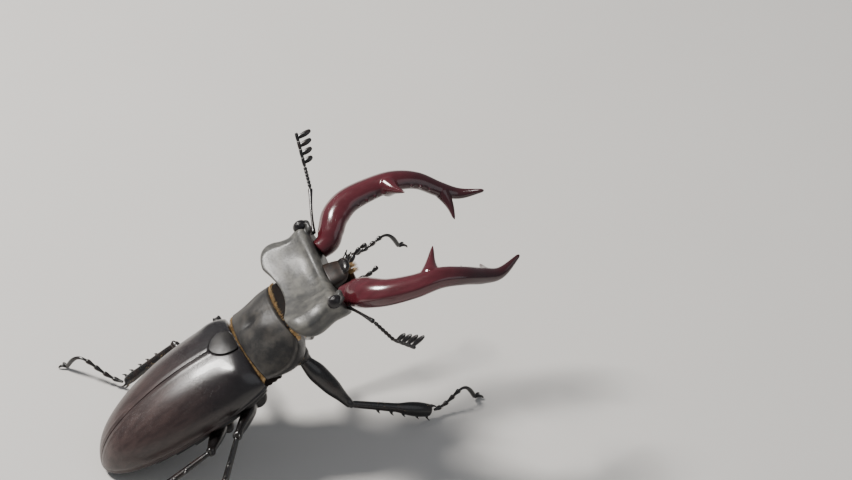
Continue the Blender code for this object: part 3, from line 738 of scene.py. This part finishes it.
def jaw_frame(side, opening):
    """The right jaw's plan, turned about its hinge, and mirrored for the left."""
    swing = Matrix.Translation(JAW_HINGE) @ Matrix.Rotation(radians(-opening), 4, "Z")
    return head @ Matrix.Diagonal((side, 1.0, 1.0, 1.0)) @ swing @ Matrix.Translation(-JAW_HINGE)


def jaw_blade(t, a):
    s, full = capsule(t, 0.06, 0.012)
    ahead = heading(JAW_LINE, s)
    inward = square_to(ahead, Vector((-1.0, 0.0, 0.0)))
    across = inward * smooth_value(JAW_HALF_WIDTHS, s) * cos(a)
    up = ahead.cross(inward) * smooth_value(JAW_HALF_HEIGHTS, s) * sin(a)
    keel = 1 + (0.12 * max(cos(a), 0.0) ** 6 + 0.09 * hump(a - 2.55, 0.22)) * sin(pi * s)
    return smooth_at(JAW_LINE, s) + (across + up) * keel * full


jaw_finish = Finish("jaw_maroon", IOR=1.54, Coat_Weight=0.35, Coat_Roughness=0.05)
spot = jaw_finish.place(head)
inner_edge = jaw_finish.node("ShaderNodeAttribute", {"attribute_name": "inner_edge"}, {}, "Fac")
along_jaw = jaw_finish.node("ShaderNodeAttribute", {"attribute_name": "along_jaw"}, {}, "Fac")
tipward = (along_jaw + jaw_finish.cloud(spot, 0.3) * 0.12).between(0.60, 0.80)
veins = jaw_finish.cloud(jaw_finish.place(head, (1.0, 4.0, 1.0)), 0.8, 4.0)
pits = jaw_finish.cells(spot, 5.5).between(0.04, 0.18)
maroon = jaw_finish.mix(veins.between(0.3, 0.7), (0.074, 0.010, 0.015), (0.098, 0.015, 0.022))
maroon = jaw_finish.mix(tipward, maroon, (0.036, 0.006, 0.009))
maroon = jaw_finish.mix(inner_edge, maroon, (0.040, 0.004, 0.008))
# Darker in the pits: painted shade.
jaw_finish.feed("Base Color", jaw_finish.mix(pits, (0.024, 0.003, 0.004), maroon))
jaw_finish.feed("Roughness", 0.13 + veins * 0.14 + inner_edge * 0.15)
jaw_finish.relief(pits * 0.6 + veins * 0.4, 0.012)

JAW_STEPS = 160
jaw_middle_points = [smooth_at(JAW_LINE, k / JAW_STEPS) for k in range(JAW_STEPS + 1)]
jaw_middle = kdtree.KDTree(JAW_STEPS + 1)
for k, point in enumerate(jaw_middle_points):
    jaw_middle.insert(point, k)
jaw_middle.balance()

for name, side in SIDES.items():
    place = jaw_frame(side, JAW_OPENING[name])
    jaw = body(48, 150, jaw_blade, place)
    for line, radii in BRANCHES:
        pull(jaw, 28, 40, tube(line, radii, 1.0, (0, 0.3, 1)), place)
    for s, size in SMALL_TEETH:
        root = smooth_at(JAW_LINE, s) - Vector((0.75 * smooth_value(JAW_HALF_WIDTHS, s), 0, 0))
        middle = root + Vector((-0.6 * size - 0.3, 0.1, 0))
        tip = root + Vector((-1.1 * size - 0.5, 0.3 * size, 0))
        radii = (0.62 * size, 0.42 * size, 0.16)
        pull(jaw, 14, 12, tube((root, middle, tip), radii, 1.2, (0, 1, 0)), place)
    piece = show("jaw_" + name, jaw, jaw_finish, ["mandible_" + name])
    blend(piece, 0.13, 6)
    edge_values = piece.data.attributes.new("inner_edge", "FLOAT", "POINT").data
    along_values = piece.data.attributes.new("along_jaw", "FLOAT", "POINT").data
    back = place.inverted()
    for index, vert in enumerate(piece.data.vertices):
        local = back @ vert.co
        _, nearest, _ = jaw_middle.find(local)
        s = nearest / JAW_STEPS
        inward = (jaw_middle_points[nearest].x - local.x) / smooth_value(JAW_HALF_WIDTHS, s)
        face = max(0.0, min(1.0, (inward - 0.86) / 0.12, (1.9 - inward) / 0.5))
        branching = max(hump(s - 0.585, 0.04), hump(s - 0.83, 0.06))
        edge_values[index].value = face * (1 - branching)
        along_values[index].value = s


# ---------------------------------------------------------------- feelers
# Elbowed antennae: a long first joint, six small beads, and a club of four leaves like a comb.
# Both are held out to the sides, the left one rising and the right one low.

BEADS, LEAVES = 6, 4


def feeler(name, root, elbow, neck, tip, comb):
    """A feeler through its four bends, with the leaves of its club turned towards comb."""
    root, elbow, neck, tip, comb = (Vector(p) for p in (root, elbow, neck, tip, comb))
    comb.normalize()
    scape = bmesh.new()
    middle = root.lerp(elbow, 0.5) + Vector((0, 0, 0.3))
    pull(scape, 20, 40, tube((root, middle, elbow), (0.44, 0.3, 0.27, 0.28, 0.34, 0.46)), head)
    show("feeler_scape_" + name, scape, limb_finish, ["antenna_" + name + "_scape"])

    beads = bmesh.new()
    start = elbow + (neck - elbow).normalized() * 0.2
    for k in range(BEADS):
        near, far = start.lerp(neck, (k - 0.15) / BEADS), start.lerp(neck, (k + 1.15) / BEADS)
        joint(beads, 14, (near, near.lerp(far, 0.5), far), (0.24, 0.28, 0.36, 0.28))
    show("feeler_beads_" + name, beads, limb_finish, ["antenna_" + name + "_funicle"])

    club = bmesh.new()
    along = (tip - neck).normalized()
    for k in range(LEAVES):
        near, far = neck.lerp(tip, 0.02 + 0.24 * k), neck.lerp(tip, 0.30 + 0.24 * k)
        joint(club, 16, (near, near.lerp(far, 0.5), far), (0.26, 0.32, 0.34, 0.28), comb)
        reach = 1.8 + 0.3 * k
        foot = near.lerp(far, 0.45)
        leaf = foot, foot + comb * reach * 0.55 + along * 0.25, foot + comb * reach + along * 0.55
        pull(club, 20, 20, tube(leaf, (0.3, 0.46, 0.52, 0.46, 0.26), 0.6, along, 0.15), head)
    show("feeler_club_" + name, club, limb_finish, ["antenna_" + name + "_club"])


feeler("left", (-10.7, 10.2, 1.1), (-19.3, 13.6, 3.3), (-22.6, 14.8, 5.4), (-27.9, 16.7, 8.9),
       (0.0, 1.0, -0.3))
feeler("right", (10.7, 10.2, 1.1), (19.2, 13.4, 2.8), (22.1, 14.5, -0.5), (27.7, 17.3, 0.6),
       (0.0, 1.0, 0.3))


# ---------------------------------------------------------------- legs
# Six glossy black legs: a ball joint in the body, a flat spindle of a thigh, a shin that widens
# to a toothed end with two spurs, five small foot joints and a pair of hooked claws.

LEG_POINTS = {      # knee, ankle and claws, in the ground's frame
    "front_left": ((-8.6, 14.8, 11.5), (-14.9, 25.2, 22.7), (-17.2, 37.2, 19.8)),
    "front_right": ((7.9, 16.2, 7.5), (8.8, 31.7, 1.7), (6.8, 42.4, 0.0)),
    "middle_left": ((-15.2, -0.6, 15.0), (-20.6, 6.0, 1.7), (-29.6, 13.0, 0.0)),
    "middle_right": ((13.8, -6.7, 12.2), (21.8, -14.2, 1.7), (30.0, -22.6, 0.0)),
    "hind_left": ((-17.2, -8.3, 10.2), (-20.6, -17.5, 1.7), (-31.8, -26.8, 0.0)),
    "hind_right": ((13.4, -11.5, 9.9), (12.9, -25.0, 1.7), (10.4, -36.9, 0.0)),
}
HIPS = {        # body part, hip, radii of its ball, widest half widths of thigh and shin
    "front": (prothorax, (3.6, 5.0, -5.5), (2.1, 2.0, 1.9), 1.75, 1.35),
    "middle": (hind, (4.6, -3.2, -6.2), (2.0, 1.9, 1.8), 1.5, 1.05),
    "hind": (hind, (4.1, -10.2, -6.6), (3.4, 1.5, 1.6), 1.55, 1.0),
}
SHIN_TEETH = ((0.34, 0.9), (0.50, 1.1), (0.64, 1.2), (0.80, 1.4), (0.93, 1.5))    # place, reach
FOOT_JOINTS = (0.0, 0.18, 0.34, 0.49, 0.63, 1.0)        # where one ends and the next begins
UP = Vector((0.0, 0.0, 1.0))


def laid(start, end, outward):
    """A limb's frame: y along it, x to its outer edge."""
    along = (end - start).normalized()
    out = square_to(along, outward)
    turn = Matrix((out, along, out.cross(along))).transposed().to_4x4()
    return Matrix.Translation(start) @ turn


class Leg:
    """Where one leg lies in the ground's frame, from the hip to the claws."""

    def __init__(self, name, knee, ankle, claws):
        self.pair, hand = name.split("_")
        self.name = name
        self.part, hip, self.hip_radii, self.thigh, self.shin = HIPS[self.pair]
        self.seat = Vector((hip[0] * SIDES[hand], hip[1], hip[2]))
        self.hip = ground.inverted() @ (self.part @ self.seat)
        self.knee, self.ankle, self.claws = Vector(knee), Vector(ankle), Vector(claws)
        self.thigh_frame = laid(self.hip, self.knee, self.knee - self.ankle)
        self.shin_frame = laid(self.knee, self.ankle, self.knee - self.hip)
        self.thigh_length = (self.knee - self.hip).length
        self.shin_length = (self.ankle - self.knee).length
        self.level = Vector((*(self.claws - self.ankle).xy, 0.0)).normalized()
        self.across = self.level.cross(UP)
        self.claw_root = self.claws - self.level * 1.4 + UP * 0.6
        self.heel = self.ankle + (self.claw_root - self.ankle).normalized() * 0.45

    def arch(self, f):
        """The foot's line, from the heel up and down to the root of the claws."""
        return self.heel.lerp(self.claw_root, f) + UP * 3.0 * sin(pi * f ** 2.1)


def thigh_mesh(leg):
    bm = bmesh.new()
    length, wide, place = leg.thigh_length, leg.thigh, ground @ leg.thigh_frame
    pull(bm, 32, 60, tube(((0, 1.0, 0), (0, length * 0.5, 0), (0, length + 0.55, 0)), (
        0.9, wide * 0.8, wide, wide * 0.98, wide * 0.88, 1.05, 0.75), 0.78), place)
    trochanter = (-0.3, 0.9, 0), (-0.5, 1.9, 0), (-0.7, 3.1, 0)
    pull(bm, 20, 20, tube(trochanter, (0.9, 1.05, 0.8, 0.4), 0.8), place)
    for hand in (-1.0, 1.0):
        cheek = ((0, length - 1.2, 0.42 * hand), (0, length, 0.52 * hand),
                 (-0.1, length + 0.7, 0.46 * hand))
        pull(bm, 16, 16, tube(cheek, (0.5, 0.62, 0.6, 0.4), 0.5), place)
    return bm


def shin_mesh(leg):
    bm = bmesh.new()
    length, wide, place = leg.shin_length, leg.shin, ground @ leg.shin_frame
    pull(bm, 32, 70, tube(((0, 0.2, 0), (0, length * 0.5, 0), (0, length, 0)), (
        0.62, 0.70, 0.74, 0.80, 0.86, wide * 0.92, wide, wide * 0.8), 0.72), place)
    for at, reach in SHIN_TEETH:
        root = Vector((0.45, length * at, 0.0))
        tooth = (root, root + Vector((reach * 0.6, reach * 0.25, 0)),
                 root + Vector((reach, reach * 0.75, 0)))
        pull(bm, 16, 16, tube(tooth, (0.45, 0.3, 0.14, 0.07)), place)
    for hand in (-1.0, 1.0):
        root = Vector((-wide * 0.5, length * 0.96, hand * 0.25))
        spur = (root, root + Vector((-0.25, 0.7, hand * 0.15)),
                root + Vector((-0.1, 1.4, hand * 0.25)))
        pull(bm, 12, 14, tube(spur, (0.26, 0.2, 0.07)), place)
    return bm


def foot_mesh(leg):
    bm = bmesh.new()
    level, across, root, tip = leg.level, leg.across, leg.claw_root, leg.claws
    for near, far in zip(FOOT_JOINTS, FOOT_JOINTS[1:]):
        line = [leg.arch(max(0.0, near - 0.03 + (far + 0.03 - near) * k / 4)) for k in range(5)]
        pull(bm, 18, 22, tube(line, (0.26, 0.28, 0.36, 0.48, 0.44), 0.9, across, 0.12), ground)
    for hand in (-1.0, 1.0):
        aside = across * hand
        claw = (root - level * 0.1, root + level * 0.75 + aside * 0.32 + UP * 0.16,
                root + level * 1.3 + aside * 0.6 - UP * 0.10,
                tip + level * 0.06 + aside * 0.66 + UP * 0.10)
        pull(bm, 14, 26, tube(claw, (0.3, 0.27, 0.2, 0.10), 1.0, across), ground)
    return bm


legs = [Leg(name, *points) for name, points in LEG_POINTS.items()]
for leg in legs:
    show("hip_ball_" + leg.name, body(40, 28, ball(leg.seat, leg.hip_radii), leg.part),
         shell_finish, ["coxa_" + leg.name])
    blend(show("thigh_" + leg.name, thigh_mesh(leg), limb_finish,
               ["femur_" + leg.name]), 0.10, 2)
    blend(show("shin_" + leg.name, shin_mesh(leg), limb_finish,
               ["tibia_" + leg.name]), 0.07, 2)
    show("foot_" + leg.name, foot_mesh(leg), limb_finish, ["tarsus_" + leg.name])


# ---------------------------------------------------------------- hair
# Fringes of golden hair seal the joints before and behind the collar plate. Finer hair covers the
# breast, brushes stand at the mouth and on the front thighs, and bristles edge the shins and feet.

hair_finish = Finish("golden_hair", IOR=1.5, Specular_IOR_Level=0.4)
spot = hair_finish.place(ground)
tone = hair_finish.cloud(spot, 1.6, 2.0).between(0.3, 0.7)
hair_finish.feed("Base Color", hair_finish.mix(tone, (0.38, 0.22, 0.085), (0.70, 0.50, 0.25)))
hair_finish.feed("Roughness", 0.38 + tone * 0.2)
hair_finish.relief(hair_finish.cloud(spot, 30.0, 1.0), 0.01)
HAIR_PATCH = 0.003      # each hair's own share of the unwrap, along and across


def strands_of(bm):
    """The vertices of each loose hair."""
    bm.verts.index_update()
    strands, seen = [], set()
    for vert in bm.verts:
        if vert.index not in seen:
            strand = [vert]
            seen.add(vert.index)
            for near in strand:
                for edge in near.link_edges:
                    far = edge.other_vert(near)
                    if far.index not in seen:
                        seen.add(far.index)
                        strand.append(far)
            strands.append(strand)
    return strands


def show_hair(name, hairs):
    """Tapered hairs, copied from one and bent to their places, each with its own unwrap."""
    bm = bmesh.new()
    bmesh.ops.create_uvsphere(bm, u_segments=3, v_segments=5, radius=1.0)
    each = len(bm.verts)
    while len(bm.verts) < each * len(hairs):
        bmesh.ops.duplicate(bm, geom=bm.verts[:] + bm.edges[:] + bm.faces[:])
    layer = bm.loops.layers.uv.new("OFBake")
    strands = strands_of(bm)
    for strand, (root, way, droop, thickness, place, unwrap) in zip(strands, hairs):
        root, way, droop = Vector(root), Vector(way), Vector(droop)
        across = way.orthogonal().normalized()
        up = way.cross(across).normalized()
        u, v = unwrap(root)
        for vert in strand:
            t = acos(max(-1.0, min(1.0, -vert.co.z))) / pi
            a = atan2(vert.co.y, vert.co.x)
            radius = thickness * max(sin(pi * t), 0.0) ** 0.6 * max(1 - t, 0.0) ** 0.5
            off = (across * cos(a) + up * sin(a)) * radius
            vert.co = place @ (root + way * t + droop * t * t + off)
            for loop in vert.link_loops:
                loop[layer].uv = u + HAIR_PATCH * (0.5 + a / (2 * pi)), v + HAIR_PATCH * t
    spare = [vert for strand in strands[len(hairs):] for vert in strand]
    bmesh.ops.delete(bm, geom=spare, context="VERTS")
    show(name, bm, hair_finish)


def around_body(point):
    """A body part's skin unrolled about its long axis."""
    return 0.5 + atan2(point.x, point.z + 1.0) / (2 * pi), 0.5 + point.y / 80


def along_limb(point):
    """A limb's skin unrolled about its own axis."""
    return 0.5 + atan2(point.z, point.x) / (2 * pi), 0.5 + point.y / 80


draw = Random(7)

collar_hair = []        # a fringe at its hind edge and one at its front edge
for k in range(2000):
    rear = k % 2 == 0
    root = Vector(collar_shape(draw.uniform(0.046, 0.060) if rear else draw.uniform(0.936, 0.950),
                               pi * draw.uniform(-0.5, 1.0)))
    out = Vector((root.x * 0.03, 0.0, (root.z - 0.5) * 0.04))
    reach = draw.uniform(0.6, 1.1) if rear else draw.uniform(0.4, 1.0)
    way = Vector((draw.gauss(0, 0.16), -1.0 if rear else 1.0, draw.gauss(0, 0.09))) + out
    collar_hair.append((root, way * reach, (0, 0, -0.22 * reach), draw.uniform(0.022, 0.038),
                        prothorax, around_body))
show_hair("collar_hair", collar_hair)

head_hair = []          # under the back of the head, then a brush at each side of the mouth
for k in range(420):
    root = Vector(head_shape(draw.uniform(0.05, 0.07), pi * draw.uniform(-0.72, -0.28)))
    reach = draw.uniform(0.35, 0.7)
    way = Vector((draw.gauss(0, 0.15), -1.0, draw.gauss(-0.2, 0.15))) * reach
    head_hair.append((root, way, (0, 0, -0.15 * reach), draw.uniform(0.02, 0.03), head,
                      around_body))
for side in SIDES.values():
    for k in range(150):
        root = Vector((side * draw.uniform(0.25, 1.1), 12.3, -1.1 + draw.uniform(-0.25, 0.25)))
        way = Vector((side * draw.uniform(-0.1, 0.5), draw.uniform(1.4, 2.3),
                      draw.uniform(-0.45, 0.2)))
        head_hair.append((root, way, (side * -0.25, 0, -0.35), draw.uniform(0.02, 0.032), head,
                          around_body))
show_hair("head_hair", head_hair)

breast_hair = []        # two hairs on the breast plate to each one below the collar
for k in range(1100):
    shape, part = (breast_plate_shape, hind) if k % 3 else (breast_shape, prothorax)
    root = Vector(shape(draw.uniform(0.1, 0.95), draw.uniform(-0.26, 0.66) * pi))
    reach = draw.uniform(0.3, 0.55)
    way = Vector((draw.gauss(0, 0.3) + root.x * 0.02, -0.9, -0.25 + draw.gauss(0, 0.12))) * reach
    breast_hair.append((root, way, (0, 0, 0.08 * reach), draw.uniform(0.010, 0.015), part,
                        around_body))
show_hair("breast_hair", breast_hair)

limb_hair = []
for leg in legs:
    if leg.pair == "front":                         # a brush on the thigh, facing the midline
        face = 1.0 if (leg.thigh_frame.to_3x3() @ UP).x * leg.knee.x < 0 else -1.0
        for k in range(260):
            a, r = draw.uniform(0, 2 * pi), draw.uniform(0, 1) ** 0.5
            root = Vector((0.75 * r * cos(a), leg.thigh_length * 0.42 + 1.7 * r * sin(a), 0.0))
            root.z = face * leg.thigh * 0.78 * max(1 - (root.x / leg.thigh) ** 2, 0.0) ** 0.5
            way = Vector((draw.gauss(0, 0.08), 0.40, 0.12 * face + draw.gauss(0, 0.03)))
            limb_hair.append((root, way, (0, 0, -0.05 * face), 0.035, ground @ leg.thigh_frame,
                              along_limb))
    for k in range(40):                             # bristles along the shin's inner edge
        t = draw.uniform(0.12, 0.96)
        turn = pi + draw.gauss(0, 0.7)
        wide = 0.66 + (leg.shin - 0.66) * max(t - 0.2, 0) / 0.8
        root = Vector((wide * cos(turn) * 0.9, leg.shin_length * t, wide * 0.68 * sin(turn)))
        way = Vector((cos(turn) * 0.42, 0.5, sin(turn) * 0.42)) * draw.uniform(0.5, 1.0)
        limb_hair.append((root, way, (0, 0.1, 0), 0.02, ground @ leg.shin_frame, along_limb))
    for f in (0.17, 0.33, 0.48, 0.62):              # a tuft below each joint of the foot
        for k in range(7):
            root = leg.arch(f) - UP * 0.22 + leg.across * draw.uniform(-0.25, 0.25)
            way = leg.level * draw.uniform(0.35, 0.65) - UP * draw.uniform(0.2, 0.4)
            limb_hair.append((root, way, (0, 0, 0), 0.02, ground, along_limb))
show_hair("limb_hair", limb_hair)


# ---------------------------------------------------------------- stage
# A pale seamless floor under soft studio light, with the camera above the beetle's right side,
# looking down across its back and a little forward.

floor_finish = Finish("pale_floor", Roughness=0.7)
floor_finish.feed("Base Color", floor_finish.mix(
    floor_finish.cloud(floor_finish.place(ground), 0.02), (0.66, 0.64, 0.61), (0.70, 0.68, 0.65)))
sheet = bmesh.new()
bmesh.ops.create_grid(sheet, x_segments=1, y_segments=1, size=1.5)
floor_mesh = bpy.data.meshes.new("floor")
sheet.to_mesh(floor_mesh)
sheet.free()
floor_mesh.materials.append(floor_finish.material)
floor = bpy.data.objects.new("floor", floor_mesh)
bpy.context.scene.collection.objects.link(floor)


LAMP_DISTANCE = 0.7     # metres


def lamp(name, towards, size, power_watts, tint):
    """A round soft light that shines on the beetle from the direction towards it."""
    data = bpy.data.lights.new(name, "AREA")
    data.shape = "DISK"
    data.size = size
    data.energy = power_watts
    data.color = tint
    made = bpy.data.objects.new(name, data)
    made.location = Vector(towards).normalized() * LAMP_DISTANCE
    made.rotation_euler = Vector(towards).to_track_quat("Z", "Y").to_euler()
    bpy.context.scene.collection.objects.link(made)


lamp("key", (0.487, 0.49, 1.0), 0.16, 7.6, (1.0, 0.97, 0.93))
lamp("fill", (-1.0, -0.5, 0.9), 0.6, 0.6, (0.93, 0.96, 1.0))
world = bpy.data.worlds.new("studio")
world.use_nodes = True
air = world.node_tree.nodes["Background"].inputs
air["Color"].default_value = (0.80, 0.84, 0.90, 1.0)
air["Strength"].default_value = 0.28
bpy.context.scene.world = world

lens = bpy.data.cameras.new("camera")
lens.sensor_width = 36.0
lens.lens = 93.04
lens.clip_start = 0.01
camera = bpy.data.objects.new("camera", lens)
camera.location = (-0.29483, 0.09404, 0.258475)
aim_at = Vector((0.042588, -0.047371, 0.0))
camera.rotation_euler = (aim_at - camera.location).to_track_quat("-Z", "Y").to_euler()
bpy.context.scene.collection.objects.link(camera)
bpy.context.scene.camera = camera
